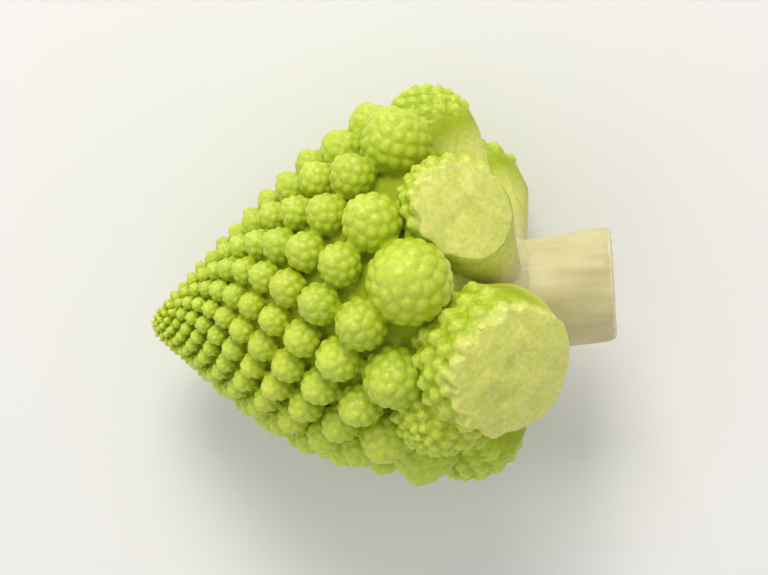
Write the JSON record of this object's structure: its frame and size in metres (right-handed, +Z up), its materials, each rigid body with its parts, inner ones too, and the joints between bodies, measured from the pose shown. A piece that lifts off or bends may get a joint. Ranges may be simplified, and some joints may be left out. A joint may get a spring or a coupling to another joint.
{
  "type": "romanesco floret",
  "caption": "Pointed romanesco floret, lying on its side: a cone of spiralling green buds with larger side cones at its base, on a pale cut stalk.",
  "frame": {"origin": "on the surface that the floret rests on, under the middle of its box", "axes": "+Z up, +X from the tip of the cone to the cut end of the stalk, +Y to the side that is uppermost in the picture"},
  "size_m": [0.078, 0.0662, 0.0584],
  "materials": {
    "green_curd": "matt, slightly waxy yellow-green buds, paler at their tops and on cut faces, deeper green in the crevices",
    "pale_stalk": "moist pale cream stem with fine lengthwise fibres and a clean cut end"
  },
  "bodies": {
    "root": {"curd": "green_curd", "stalk": "pale_stalk"}
  },
  "joints": []
}
